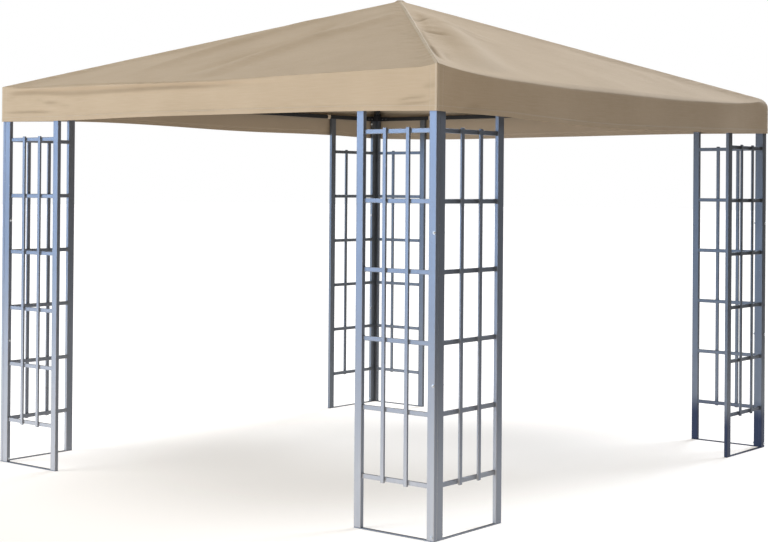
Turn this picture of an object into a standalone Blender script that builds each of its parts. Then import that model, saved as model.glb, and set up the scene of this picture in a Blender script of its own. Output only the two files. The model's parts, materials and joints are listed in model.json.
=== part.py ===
"""Garden gazebo, three metres square, with trellis legs and a pyramid canopy.

Metres, +Z up. The origin is at the centre of the base, on the ground.
The front faces -Y. Four like legs stand at the corners. Each leg is two
welded trellis panels bolted together at a right angle: one panel reaches the
corner and laps over the end of the other. Eave beams lie on the posts, four
hip rafters rise from corner brackets to a hub, and a canopy covers it all.
The canopy is sewn from four like panels that meet along the hips.
"""

import math

import bmesh
import bpy
from mathutils import Matrix, Vector

# Driving dimensions
HALF_SIDE = 1.5            # from the centre to the outer face of the posts
TOUCH_GAP = 0.0003         # between pieces that touch
MERGE_DISTANCE = 0.0001    # points closer than this are one point

POST_WIDTH = 0.040         # rectangular tube, wide face outwards
POST_DEPTH = 0.020
POST_TOP = 1.940
PANEL_WIDTH = 0.450

STRAP_THICKNESS = 0.004    # flat bar on the ground that ties the posts' feet

RUNG_COUNT = 6
FIRST_RUNG_HEIGHT = 0.228  # centre of the lowest rung
RUNG_PITCH = 0.2983
RUNG_HEIGHT = 0.020
RUNG_DEPTH = 0.011         # at the back of the panel
BAR_COUNT = 2
BAR_WIDTH = 0.020
BAR_DEPTH = 0.010          # at the front of the panel, over the rungs
BAR_OVERRUN = 0.006        # past the lowest and the highest rung

BEAM_DEPTH = 0.020
BEAM_HEIGHT = 0.025
SOCKET_WALL = 0.002

PEAK_HEIGHT = 2.520        # outside of the canopy
CORNER_HEIGHT = 1.998      # outside of the canopy, over a corner post
VALANCE_BOTTOM = 1.800
CANOPY_HALF = 1.508
CANOPY_THICKNESS = 0.003
EAVE_DIP = 0.027           # how far the eave lies lower halfway along a side
FACE_CUTS = 7              # cuts across each roof face of the canopy

BRACKET_SIDE = 0.062
BRACKET_SHOULDER = 1.970     # top of the bracket by the corner of the canopy
BRACKET_SEAT_SIDE = 0.034    # raised part under the end of the rafter's socket
BRACKET_TOP = 1.990
SADDLE_LENGTH = 0.060      # of the bracket's saddle over each beam
SOCKET_LENGTH = 0.100      # of the socket on each end of a rafter
RAFTER_WIDTH = 0.020
RAFTER_HEIGHT = 0.025
HUB_RADIUS = 0.050
HUB_BOTTOM = 2.455
HUB_TIP_RADIUS = 0.008
HUB_SIDES = 32

# Corners in turn, each a quarter turn on from the one before, with the
# face that the lapping panel is on and the face of the panel that it laps
CORNERS = (
    ("front_right", "front", "right"),
    ("back_right", "right", "back"),
    ("back_left", "back", "left"),
    ("front_left", "left", "front"),
)

# Worked out from the driving dimensions
HIP_SLOPE = (PEAK_HEIGHT - CORNER_HEIGHT) / CANOPY_HALF / math.sqrt(2.0)
ROOF_SLOPE = (PEAK_HEIGHT - CORNER_HEIGHT) / CANOPY_HALF
BEAM_BOTTOM = POST_TOP + TOUCH_GAP
BEAM_TOP = BEAM_BOTTOM + BEAM_HEIGHT
BEAM_INSET = SOCKET_WALL + TOUCH_GAP
SOCKET_HALF_WIDTH = RAFTER_WIDTH / 2.0 + TOUCH_GAP + SOCKET_WALL
SOCKET_HEIGHT = RAFTER_HEIGHT + 2.0 * (TOUCH_GAP + SOCKET_WALL)
SOCKET_DROP = 0.0079       # of a socket's top under the outside of the hip
BRACKET_REACH = (HALF_SIDE - BRACKET_SIDE) * math.sqrt(2.0)
RAFTER_START = HUB_RADIUS + TOUCH_GAP
RAFTER_END = BRACKET_REACH - TOUCH_GAP


def clear_scene():
    """Remove whatever the scene holds."""
    for old_object in list(bpy.data.objects):
        bpy.data.objects.remove(old_object, do_unlink=True)


def make_collection(name):
    """A new collection in the scene."""
    collection = bpy.data.collections.new(name)
    bpy.context.scene.collection.children.link(collection)
    return collection


def make_material(name, color, roughness, metallic):
    """A Principled BSDF material."""
    material = bpy.data.materials.new(name)
    material.use_nodes = True
    shader = material.node_tree.nodes["Principled BSDF"]
    shader.inputs["Base Color"].default_value = (*color, 1.0)
    shader.inputs["Roughness"].default_value = roughness
    shader.inputs["Metallic"].default_value = metallic
    return material


def add_box(mesh, low, high):
    """Add a box between two corners to a bmesh."""
    low = Vector(low)
    high = Vector(high)
    size = high - low
    placed = Matrix.Translation((low + high) / 2.0) @ Matrix.Diagonal((*size, 1.0))
    bmesh.ops.create_cube(mesh, size=1.0, matrix=placed)


def boxes_mesh(name, boxes):
    """A mesh of separate boxes, each given by its two corners."""
    shape = bmesh.new()
    for low, high in boxes:
        add_box(shape, low, high)
    mesh = bpy.data.meshes.new(name)
    shape.to_mesh(mesh)
    shape.free()
    return mesh


def sloped_bar_mesh(name, start, end, top_drop, height, half_width):
    """A bar under a hip, with upright ends, from start to end.

    Distances run from the centre along +X. The bar's top lies top_drop
    under the outside of the hip line.
    """
    shape = bmesh.new()
    add_box(shape, (start, -half_width, -height), (end, half_width, 0.0))
    for corner in shape.verts:
        corner.co.z += PEAK_HEIGHT - HIP_SLOPE * corner.co.x - top_drop
    mesh = bpy.data.meshes.new(name)
    shape.to_mesh(mesh)
    shape.free()
    return mesh


def combine(name, base_mesh, steps):
    """Join other meshes to a mesh, cut them from it or keep only what they share.

    Each step is a Boolean operation and a mesh. The result is a new mesh.
    """
    base = bpy.data.objects.new(name + "_base", base_mesh)
    bpy.context.scene.collection.objects.link(base)
    helpers = []
    for number, (operation, mesh) in enumerate(steps):
        helper = bpy.data.objects.new(f"{name}_step_{number}", mesh)
        cutters.objects.link(helper)
        helper.hide_render = True
        helper.display_type = "WIRE"
        helpers.append(helper)
        boolean = base.modifiers.new(f"step_{number}", "BOOLEAN")
        boolean.operation = operation
        boolean.object = helper
    bpy.context.view_layer.update()
    evaluated = base.evaluated_get(bpy.context.evaluated_depsgraph_get())
    result = bpy.data.meshes.new_from_object(evaluated)
    result.name = name
    for spent in (base, *helpers):
        bpy.data.objects.remove(spent, do_unlink=True)
    return result


def thicken(name, surface_mesh, thickness):
    """A new mesh: the surface given a thickness on its inner side."""
    surface = bpy.data.objects.new(name + "_surface", surface_mesh)
    bpy.context.scene.collection.objects.link(surface)
    solidify = surface.modifiers.new("thickness", "SOLIDIFY")
    solidify.thickness = thickness
    solidify.offset = -1.0
    solidify.use_even_offset = True
    bpy.context.view_layer.update()
    evaluated = surface.evaluated_get(bpy.context.evaluated_depsgraph_get())
    result = bpy.data.meshes.new_from_object(evaluated)
    result.name = name
    bpy.data.objects.remove(surface, do_unlink=True)
    return result


def place(name, mesh, material, parent, location=(0.0, 0.0, 0.0), turn=0.0):
    """A named part that carries a mesh, set under a parent."""
    part = bpy.data.objects.new(name, mesh)
    parts.objects.link(part)
    part.parent = parent
    part.location = location
    part.rotation_euler = (0.0, 0.0, turn)
    if not mesh.materials:
        mesh.materials.append(material)
    return part


def make_corner_empty(name, quarter_turns):
    """An empty at the centre, turned so that its corner is the one named."""
    empty = bpy.data.objects.new(name, None)
    parts.objects.link(empty)
    empty.rotation_euler = (0.0, 0.0, quarter_turns * math.pi / 2.0)
    return empty


def make_post_mesh():
    """One upright of a panel, standing on the foot strap."""
    foot = STRAP_THICKNESS + TOUCH_GAP
    return boxes_mesh("post", [((0.0, 0.0, foot), (POST_WIDTH, POST_DEPTH, POST_TOP))])


def make_lattice_mesh():
    """Rungs between the posts, with two bars welded over them."""
    left = POST_WIDTH + TOUCH_GAP
    right = PANEL_WIDTH - POST_WIDTH - TOUCH_GAP
    rungs = []
    for number in range(RUNG_COUNT):
        middle = FIRST_RUNG_HEIGHT + number * RUNG_PITCH
        low = (left, POST_DEPTH - RUNG_DEPTH, middle - RUNG_HEIGHT / 2.0)
        high = (right, POST_DEPTH, middle + RUNG_HEIGHT / 2.0)
        rungs.append((low, high))
    bar_reach = RUNG_HEIGHT / 2.0 + BAR_OVERRUN
    bar_low = FIRST_RUNG_HEIGHT - bar_reach
    bar_high = FIRST_RUNG_HEIGHT + (RUNG_COUNT - 1) * RUNG_PITCH + bar_reach
    clear_width = PANEL_WIDTH - 2.0 * POST_WIDTH
    space = (clear_width - BAR_COUNT * BAR_WIDTH) / (BAR_COUNT + 1)
    bars = []
    for number in range(BAR_COUNT):
        start = POST_WIDTH + space + number * (space + BAR_WIDTH)
        bars.append(((start, 0.0, bar_low), (start + BAR_WIDTH, BAR_DEPTH, bar_high)))
    rungs_mesh = boxes_mesh("rungs", rungs)
    bars_mesh = boxes_mesh("bars", bars)
    return combine("lattice", rungs_mesh, [("UNION", bars_mesh)])


def make_foot_strap_mesh():
    """An angle of flat bar under the four posts of a leg."""
    corner = (HALF_SIDE, -HALF_SIDE)
    reach = HALF_SIDE - PANEL_WIDTH
    lapped_reach = -HALF_SIDE + POST_DEPTH + TOUCH_GAP + PANEL_WIDTH
    lapping_side = boxes_mesh(
        "lapping_side",
        [((reach, corner[1], 0.0), (corner[0], corner[1] + POST_DEPTH, STRAP_THICKNESS))],
    )
    lapped_side = boxes_mesh(
        "lapped_side",
        [((corner[0] - POST_DEPTH, corner[1], 0.0), (corner[0], lapped_reach, STRAP_THICKNESS))],
    )
    return combine("foot_strap", lapping_side, [("UNION", lapped_side)])


def make_bracket_mesh():
    """A stepped corner block on the posts, with two beam saddles and a rafter socket."""
    front = -HALF_SIDE
    side = HALF_SIDE
    inner = side - BRACKET_SIDE
    block = boxes_mesh(
        "block",
        [((inner, front, BEAM_BOTTOM), (side, front + BRACKET_SIDE, BRACKET_SHOULDER))],
    )
    seat = boxes_mesh(
        "seat",
        [((inner, -inner - BRACKET_SEAT_SIDE, BEAM_BOTTOM + SOCKET_WALL),
          (inner + BRACKET_SEAT_SIDE, -inner, BRACKET_TOP))],
    )
    saddle_depth = BEAM_DEPTH + 2.0 * BEAM_INSET
    saddle_top = BEAM_TOP + TOUCH_GAP + SOCKET_WALL
    mouth = inner - SADDLE_LENGTH
    overlap = SOCKET_WALL
    saddles = boxes_mesh(
        "saddles",
        [
            ((mouth, front, BEAM_BOTTOM), (inner + overlap, front + saddle_depth, saddle_top)),
            ((side - saddle_depth, front + BRACKET_SIDE - overlap, BEAM_BOTTOM),
             (side, -mouth, saddle_top)),
        ],
    )
    wide = BEAM_DEPTH + 2.0 * TOUCH_GAP
    wall = SOCKET_WALL
    below = BEAM_BOTTOM - SOCKET_WALL
    past = mouth - SOCKET_WALL
    beam_room = boxes_mesh(
        "beam_room",
        [
            ((past, front + wall, below), (inner, front + wall + wide, BEAM_TOP + TOUCH_GAP)),
            ((side - wall - wide, -inner, below), (side - wall, -past, BEAM_TOP + TOUCH_GAP)),
        ],
    )
    socket_start = BRACKET_REACH - SOCKET_LENGTH
    socket_end = BRACKET_REACH + BRACKET_SIDE / 2.0
    socket = sloped_bar_mesh(
        "socket", socket_start, socket_end, SOCKET_DROP, SOCKET_HEIGHT, SOCKET_HALF_WIDTH)
    rafter_room = sloped_bar_mesh(
        "rafter_room",
        socket_start - SOCKET_WALL,
        BRACKET_REACH,
        SOCKET_DROP + SOCKET_WALL,
        RAFTER_HEIGHT + 2.0 * TOUCH_GAP,
        RAFTER_WIDTH / 2.0 + TOUCH_GAP,
    )
    to_corner = Matrix.Rotation(-math.pi / 4.0, 4, "Z")
    socket.transform(to_corner)
    rafter_room.transform(to_corner)
    return combine(
        "bracket",
        block,
        [
            ("UNION", seat),
            ("UNION", saddles),
            ("UNION", socket),
            ("DIFFERENCE", beam_room),
            ("DIFFERENCE", rafter_room),
        ],
    )


def make_beam_mesh():
    """The front eave beam, from bracket to bracket."""
    end = HALF_SIDE - BRACKET_SIDE - TOUCH_GAP
    outer = -HALF_SIDE + BEAM_INSET
    return boxes_mesh(
        "beam", [((-end, outer, BEAM_BOTTOM), (end, outer + BEAM_DEPTH, BEAM_TOP))])


def make_rafter_mesh():
    """A hip rafter, from the hub to the front right bracket."""
    rafter = sloped_bar_mesh(
        "rafter",
        RAFTER_START,
        RAFTER_END,
        SOCKET_DROP + SOCKET_WALL + TOUCH_GAP,
        RAFTER_HEIGHT,
        RAFTER_WIDTH / 2.0,
    )
    rafter.transform(Matrix.Rotation(-math.pi / 4.0, 4, "Z"))
    return rafter


def make_hub_mesh():
    """The turned hub under the peak, with a socket for each rafter."""
    clearance = CANOPY_THICKNESS / math.cos(math.atan(ROOF_SLOPE)) + 2.0 * TOUCH_GAP
    rim_height = PEAK_HEIGHT - ROOF_SLOPE * HUB_RADIUS - clearance
    tip_height = PEAK_HEIGHT - ROOF_SLOPE * HUB_TIP_RADIUS - clearance
    outline = (
        (0.0, tip_height),
        (HUB_TIP_RADIUS, tip_height),
        (HUB_RADIUS, rim_height),
        (HUB_RADIUS, HUB_BOTTOM),
        (0.0, HUB_BOTTOM),
    )
    shape = bmesh.new()
    points = [shape.verts.new((radius, 0.0, height)) for radius, height in outline]
    edges = [shape.edges.new(pair) for pair in zip(points, points[1:])]
    bmesh.ops.spin(
        shape, geom=points + edges, cent=(0.0, 0.0, 0.0), axis=(0.0, 0.0, 1.0),
        steps=HUB_SIDES, angle=2.0 * math.pi)
    bmesh.ops.remove_doubles(shape, verts=shape.verts, dist=MERGE_DISTANCE)
    bmesh.ops.recalc_face_normals(shape, faces=shape.faces)
    drum = bpy.data.meshes.new("hub_drum")
    shape.to_mesh(drum)
    shape.free()
    sockets = []
    rooms = []
    for quarter in range(4):
        turn = Matrix.Rotation((quarter + 0.5) * math.pi / 2.0, 4, "Z")
        socket = sloped_bar_mesh(
            f"hub_socket_{quarter}",
            HUB_RADIUS / 2.0,
            HUB_RADIUS + SOCKET_LENGTH,
            SOCKET_DROP,
            SOCKET_HEIGHT,
            SOCKET_HALF_WIDTH,
        )
        room = sloped_bar_mesh(
            f"hub_room_{quarter}",
            HUB_RADIUS,
            HUB_RADIUS + SOCKET_LENGTH + SOCKET_WALL,
            SOCKET_DROP + SOCKET_WALL,
            RAFTER_HEIGHT + 2.0 * TOUCH_GAP,
            RAFTER_WIDTH / 2.0 + TOUCH_GAP,
        )
        for piece in (socket, room):
            piece.transform(turn)
        sockets.append(("UNION", socket))
        rooms.append(("DIFFERENCE", room))
    return combine("hub", drum, sockets + rooms)


def roof_height(x, y):
    """Height of the outside of the canopy over a point.

    Along the hips it falls straight from the peak to the corners. Between
    them it dips towards the middle of the face, more the nearer the eave.
    """
    outward = max(abs(x), abs(y))
    if outward == 0.0:
        return PEAK_HEIGHT
    along = min(abs(x), abs(y)) / outward
    share = outward / CANOPY_HALF
    dip = EAVE_DIP * share * (1.0 - along * along)
    return PEAK_HEIGHT - ROOF_SLOPE * outward - dip


def make_canopy_shell():
    """The whole canopy, open below: four roof faces and a valance."""
    shape = bmesh.new()
    bmesh.ops.create_cone(
        shape, cap_ends=False, segments=4, radius1=CANOPY_HALF * math.sqrt(2.0),
        radius2=0.0, depth=1.0, matrix=Matrix.Rotation(math.pi / 4.0, 4, "Z"))
    bmesh.ops.remove_doubles(shape, verts=shape.verts, dist=MERGE_DISTANCE)
    bmesh.ops.subdivide_edges(shape, edges=shape.edges, cuts=FACE_CUTS, use_grid_fill=True)
    bmesh.ops.triangulate(shape, faces=shape.faces)
    for point in shape.verts:
        point.co.z = roof_height(point.co.x, point.co.y)
    eave = [edge for edge in shape.edges if edge.is_boundary]
    hanging = bmesh.ops.extrude_edge_only(shape, edges=eave)
    for item in hanging["geom"]:
        if isinstance(item, bmesh.types.BMVert):
            item.co.z = VALANCE_BOTTOM
    bmesh.ops.recalc_face_normals(shape, faces=shape.faces)
    mesh = bpy.data.meshes.new("canopy_surface")
    shape.to_mesh(mesh)
    shape.free()
    return thicken("canopy_shell", mesh, CANOPY_THICKNESS)


def make_canopy_panel_mesh():
    """The front panel of the canopy: the part of the shell between two hips.

    A square block with one corner at the centre, turned so that its two
    sides run under the hips, keeps that part.
    """
    seam = TOUCH_GAP / 2.0
    far = 2.0 * CANOPY_HALF
    sector = boxes_mesh("sector", [((seam, seam, 0.0), (far, far, 2.0 * PEAK_HEIGHT))])
    sector.transform(Matrix.Rotation(-0.75 * math.pi, 4, "Z"))
    return combine("canopy_panel", make_canopy_shell(), [("INTERSECT", sector)])


def build_leg(corner, lapping_face, lapped_face, parent):
    """The two trellis panels of a leg and the strap under their feet."""
    panels = (
        (lapping_face, (HALF_SIDE - PANEL_WIDTH, -HALF_SIDE, 0.0), 0.0, True),
        (lapped_face, (HALF_SIDE, -HALF_SIDE + POST_DEPTH + TOUCH_GAP, 0.0), math.pi / 2.0, False),
    )
    for face, location, turn, corner_is_last in panels:
        name = f"{corner}_leg_{face}"
        forward = Matrix.Rotation(turn, 4, "Z")
        far_place = Vector(location) + forward @ Vector((PANEL_WIDTH - POST_WIDTH, 0.0, 0.0))
        near_name = "end_post" if corner_is_last else "corner_post"
        far_name = "corner_post" if corner_is_last else "end_post"
        place(f"{name}_{near_name}", post_mesh, steel_paint, parent, location, turn)
        place(f"{name}_{far_name}", post_mesh, steel_paint, parent, far_place, turn)
        place(f"{name}_lattice", lattice_mesh, steel_paint, parent, location, turn)
    place(f"{corner}_leg_foot_strap", foot_strap_mesh, steel_paint, parent)


clear_scene()
parts = make_collection("garden_gazebo")
cutters = make_collection("cutters")
steel_paint = make_material("blue_grey_powder_coat", (0.170, 0.215, 0.290), 0.42, 0.35)
dark_paint = make_material("dark_powder_coat", (0.030, 0.034, 0.040), 0.50, 0.30)
canopy_cloth = make_material("sand_canopy_cloth", (0.520, 0.430, 0.325), 0.85, 0.0)

post_mesh = make_post_mesh()
lattice_mesh = make_lattice_mesh()
foot_strap_mesh = make_foot_strap_mesh()
bracket_mesh = make_bracket_mesh()
beam_mesh = make_beam_mesh()
rafter_mesh = make_rafter_mesh()
canopy_panel_mesh = make_canopy_panel_mesh()

for quarter_turns, (corner, lapping_face, lapped_face) in enumerate(CORNERS):
    corner_empty = make_corner_empty(f"{corner}_corner", quarter_turns)
    build_leg(corner, lapping_face, lapped_face, corner_empty)
    place(f"{corner}_bracket", bracket_mesh, dark_paint, corner_empty)
    place(f"{lapping_face}_eave_beam", beam_mesh, dark_paint, corner_empty)
    place(f"{corner}_hip_rafter", rafter_mesh, dark_paint, corner_empty)
    place(f"{lapping_face}_canopy_panel", canopy_panel_mesh, canopy_cloth, corner_empty)

place("peak_hub", make_hub_mesh(), dark_paint, None)
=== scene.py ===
"""A garden gazebo on four trellis legs, under a pyramid canopy with a valance.

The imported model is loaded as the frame. The sections follow the gazebo as it
is put up: the legs, their bolts, the roof frame, and the canopy over it.
"""
import json
import math

import bpy
import numpy as np
from mathutils import Matrix, Vector

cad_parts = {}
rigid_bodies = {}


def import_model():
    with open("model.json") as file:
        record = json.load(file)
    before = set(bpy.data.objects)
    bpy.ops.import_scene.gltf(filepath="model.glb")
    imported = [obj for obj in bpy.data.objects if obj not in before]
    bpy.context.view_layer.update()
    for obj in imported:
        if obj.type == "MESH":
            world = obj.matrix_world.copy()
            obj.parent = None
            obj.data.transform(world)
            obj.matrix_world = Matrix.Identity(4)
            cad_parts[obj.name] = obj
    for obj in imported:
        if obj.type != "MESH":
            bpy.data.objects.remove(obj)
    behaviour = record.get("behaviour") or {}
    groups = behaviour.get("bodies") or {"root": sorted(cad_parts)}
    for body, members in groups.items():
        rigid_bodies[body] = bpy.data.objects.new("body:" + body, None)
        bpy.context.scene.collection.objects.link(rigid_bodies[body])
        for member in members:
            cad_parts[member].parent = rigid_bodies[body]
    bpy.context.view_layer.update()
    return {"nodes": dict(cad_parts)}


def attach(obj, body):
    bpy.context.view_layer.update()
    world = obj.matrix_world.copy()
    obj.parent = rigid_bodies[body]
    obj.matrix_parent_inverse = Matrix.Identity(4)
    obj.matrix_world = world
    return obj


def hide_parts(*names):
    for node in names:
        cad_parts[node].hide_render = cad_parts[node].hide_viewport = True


for leftover in list(bpy.data.objects):
    bpy.data.objects.remove(leftover)
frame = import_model()


# Camera
# It stands outside the near corner, level, a little under head height.
# Its lens and shift give the photograph's frame of 768 x 542.
camera_data = bpy.data.cameras.new("camera")
camera_data.sensor_fit = "HORIZONTAL"
camera_data.sensor_width = 36.0
camera_data.lens = 70.541
camera_data.shift_x = -0.16491
camera_data.shift_y = -0.11800
camera_data.clip_end = 500.0
camera = bpy.data.objects.new("camera", camera_data)
camera_yaw = math.radians(36.51)
camera_pitch = math.radians(0.3684)
camera_roll = math.radians(0.4201)
look = Vector((
    -math.sin(camera_yaw) * math.cos(camera_pitch),
    math.cos(camera_yaw) * math.cos(camera_pitch),
    math.sin(camera_pitch),
))
level = Vector((math.cos(camera_yaw), math.sin(camera_yaw), 0.0))
upright = level.cross(look)
frame_right = level * math.cos(camera_roll) + upright * math.sin(camera_roll)
frame_up = upright * math.cos(camera_roll) - level * math.sin(camera_roll)
camera.matrix_world = Matrix((
    (frame_right.x, frame_up.x, -look.x, 5.4839),
    (frame_right.y, frame_up.y, -look.y, -6.3614),
    (frame_right.z, frame_up.z, -look.z, 1.4709),
    (0.0, 0.0, 0.0, 1.0),
))
bpy.context.scene.collection.objects.link(camera)
bpy.context.scene.camera = camera
bpy.context.scene.view_settings.view_transform = "Standard"


# Studio
# A pale floor that glows, warmer past the gazebo's right side, under a wide, soft
# light from behind. One softbox stands low at the front left, one hangs high there,
# and a dark flag stands on the right.
class Wire:
    """One output of a node. Arithmetic on it adds a Math node."""

    def __init__(self, recipe, socket):
        self.recipe = recipe
        self.socket = socket

    def maths(self, operation, first, second=0.0):
        return self.recipe.node("ShaderNodeMath", {"operation": operation}, {0: first, 1: second})

    def __add__(self, other):
        return self.maths("ADD", self, other)

    def __radd__(self, other):
        return self.maths("ADD", other, self)

    def __sub__(self, other):
        return self.maths("SUBTRACT", self, other)

    def __rsub__(self, other):
        return self.maths("SUBTRACT", other, self)

    def __mul__(self, other):
        return self.maths("MULTIPLY", self, other)

    def __rmul__(self, other):
        return self.maths("MULTIPLY", other, self)

    def sine(self):
        return self.maths("SINE", self)

    def size(self):
        return self.maths("ABSOLUTE", self)

    def wrapped(self, period):
        return self.maths("PINGPONG", self, period)

    def rise(self, start, end):
        """0 before start, 1 after end and a smooth climb between them."""
        ends = {"Value": self, "From Min": start, "From Max": end}
        return self.recipe.node("ShaderNodeMapRange", {"interpolation_type": "SMOOTHSTEP"}, ends)


class Recipe:
    """A node tree that is being put together."""

    def __init__(self, tree):
        self.tree = tree
        tree.nodes.clear()

    def node(self, kind, settings=None, inputs=None, output=0):
        """Adds a node: its settings first, then its sockets' values or links."""
        node = self.tree.nodes.new(kind)
        for name, value in (settings or {}).items():
            setattr(node, name, value)
        for key, value in (inputs or {}).items():
            if isinstance(value, Wire):
                self.tree.links.new(value.socket, node.inputs[key])
            else:
                node.inputs[key].default_value = value
        if not node.outputs:
            return None
        return Wire(self, node.outputs[output])

    def mix(self, share, first, second):
        """From the first colour to the second as share goes from 0 to 1."""
        return self.node("ShaderNodeMix", {"data_type": "RGBA"}, {0: share, 6: first, 7: second}, 2)

    def grain(self, where, scale, detail=2.0):
        """Soft noise about 0.5."""
        return self.node("ShaderNodeTexNoise", None, {"Vector": where, "Scale": scale, "Detail": detail})


class Finish(Recipe):
    """A material: its node tree, and the place on the object that it reads."""

    def __init__(self, name):
        self.material = bpy.data.materials.new(name)
        self.material.use_nodes = True
        super().__init__(self.material.node_tree)
        self.place = self.node("ShaderNodeTexCoord", output="Object")

    def parts_of(self, vector):
        """The three numbers of a vector."""
        split = self.tree.nodes.new("ShaderNodeSeparateXYZ")
        self.tree.links.new(vector.socket, split.inputs[0])
        return [Wire(self, socket) for socket in split.outputs]

    def carried(self, name):
        """A number that the points of the piece carry."""
        return self.node("ShaderNodeAttribute", {"attribute_name": name}, output="Fac")

    def relief(self, height):
        """A normal from a height in metres."""
        return self.node(
            "ShaderNodeBump", None, {"Strength": 1.0, "Distance": 1.0, "Height": height})

    def surface(self, sockets):
        shader = self.node("ShaderNodeBsdfPrincipled", None, sockets)
        self.node("ShaderNodeOutputMaterial", None, {"Surface": shader})


world = bpy.data.worlds.new("studio")
bpy.context.scene.world = world
world.use_nodes = True
room = Recipe(world.node_tree)
dim_room = room.node(
    "ShaderNodeBackground", None, {"Color": (1.0, 0.80, 0.54, 1.0), "Strength": 0.135})
white_backdrop = room.node(
    "ShaderNodeBackground", None, {"Color": (1.0, 1.0, 1.0, 1.0), "Strength": 1.0})
in_view = room.node("ShaderNodeLightPath", output="Is Camera Ray")
whole_room = room.node("ShaderNodeMixShader", None, {0: in_view, 1: dim_room, 2: white_backdrop})
room.node("ShaderNodeOutputWorld", None, {"Surface": whole_room})

high_light_data = bpy.data.lights.new("high_light", "SUN")
high_light_data.energy = 4.75
high_light_data.angle = 0.7
high_light_data.color = (0.83, 0.90, 1.0)
high_light = bpy.data.objects.new("high_light", high_light_data)
high_light.rotation_euler = Vector((0.05, 0.83, 0.55)).to_track_quat("Z", "Y").to_euler()
bpy.context.scene.collection.objects.link(high_light)

# Each softbox: name, width and height, power, colour, place, and the way its back faces
for box_name, box_size, box_power, box_colour, box_place, box_facing in (
    ("low_softbox", (21.0, 10.5), 5050.0, (0.430, 0.650, 1.0),
     (-19.3, -24.8, 2.7), (-0.616, -0.788, 0.0)),
    ("high_softbox", (12.8, 9.6), 2610.0, (0.94, 0.94, 0.89),
     (-9.9, -15.7, 15.6), (-0.46, -0.65, 0.60)),
):
    softbox_data = bpy.data.lights.new(box_name, "AREA")
    softbox_data.shape = "RECTANGLE"
    softbox_data.size, softbox_data.size_y = box_size
    softbox_data.energy = box_power
    softbox_data.color = box_colour
    softbox = bpy.data.objects.new(box_name, softbox_data)
    softbox.location = box_place
    softbox.rotation_euler = Vector(box_facing).to_track_quat("Z", "Y").to_euler()
    softbox.visible_camera = False
    bpy.context.scene.collection.objects.link(softbox)

FLOOR_HALF = 100.0
FLOOR_DROP = 0.0004
floor_mesh = bpy.data.meshes.new("studio_floor")
floor_mesh.from_pydata(
    [(-FLOOR_HALF, -FLOOR_HALF, -FLOOR_DROP), (FLOOR_HALF, -FLOOR_HALF, -FLOOR_DROP),
     (FLOOR_HALF, FLOOR_HALF, -FLOOR_DROP), (-FLOOR_HALF, FLOOR_HALF, -FLOOR_DROP)],
    [], [(0, 1, 2, 3)])
floor = bpy.data.objects.new("studio_floor", floor_mesh)
bpy.context.scene.collection.objects.link(floor)
floor_finish = Finish("pale_floor")
floor_cloud = floor_finish.grain(floor_finish.place, 0.6)
floor_reach = floor_finish.node(
    "ShaderNodeVectorMath", {"operation": "LENGTH"}, {0: floor_finish.place}, "Value")
floor_glow = floor_finish.mix(
    floor_reach.rise(0.6, 2.4), (0.213, 0.202, 0.188, 1.0), (0.680, 0.662, 0.645, 1.0))
floor_right = floor_finish.parts_of(floor_finish.place)[0].rise(2.9, 3.6)
floor_finish.surface({
    "Base Color": floor_finish.mix(
        floor_cloud, (0.610, 0.588, 0.556, 1.0), (0.630, 0.608, 0.576, 1.0)),
    "Emission Color": floor_finish.mix(floor_right, floor_glow, (0.800, 0.655, 0.470, 1.0)),
    "Emission Strength": 1.0,
    "Roughness": 0.9,
    "Specular IOR Level": 0.2,
})
floor_mesh.materials.append(floor_finish.material)

flag_mesh = bpy.data.meshes.new("dark_flag")
flag_mesh.from_pydata(
    [(3.5, -2.5, 0.0), (2.9, 6.0, 0.0), (2.9, 6.0, 3.2), (3.5, -2.5, 3.2)], [], [(0, 1, 2, 3)])
flag = bpy.data.objects.new("dark_flag", flag_mesh)
bpy.context.scene.collection.objects.link(flag)
flag_finish = Finish("black_felt")
flag_nap = flag_finish.grain(flag_finish.place, 300.0)
flag_finish.surface({
    "Base Color": flag_finish.mix(flag_nap, (0.030, 0.030, 0.032, 1.0), (0.045, 0.045, 0.048, 1.0)),
    "Roughness": 0.95,
})
flag_mesh.materials.append(flag_finish.material)
flag.visible_camera = False
flag.visible_shadow = False


# Leg posts
# Sixteen uprights of 40 x 20 mm welded steel tube, cut square, two to a trellis panel,
# stand on the foot straps. Their paint is a grey-blue metallic. The two back legs take a
# darker copy of it, painted shade. Towards the foot the faces toward the softboxes turn
# pale, partly dust and partly a painted reflection of the floor, and the foot of the back
# right leg turns darker navy.
QUARTER_TURN = np.array([[0.0, 1.0, 0.0], [-1.0, 0.0, 0.0], [0.0, 0.0, 1.0]])
HALF_SIDE = 1.5
POST_WIDTH = 0.040
POST_DEPTH = 0.020
POST_FOOT = 0.0043
POST_TOP = 1.940
POST_EDGE = 0.0022
END_EASE = 0.0007
PANEL_WIDTH = 0.450
TOUCH_GAP = 0.0003
CORNERS = (
    ("front_right", "front", "right"),
    ("back_right", "right", "back"),
    ("back_left", "back", "left"),
    ("front_left", "left", "front"),
)
LAPPING_PANEL = ((HALF_SIDE - PANEL_WIDTH, -HALF_SIDE, 0.0), (1, 0, 0), (0, 1, 0), (0, 0, 1))
LAPPED_PANEL = ((HALF_SIDE, -HALF_SIDE + POST_DEPTH + TOUCH_GAP, 0.0), (0, 1, 0), (-1, 0, 0), (0, 0, 1))


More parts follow.
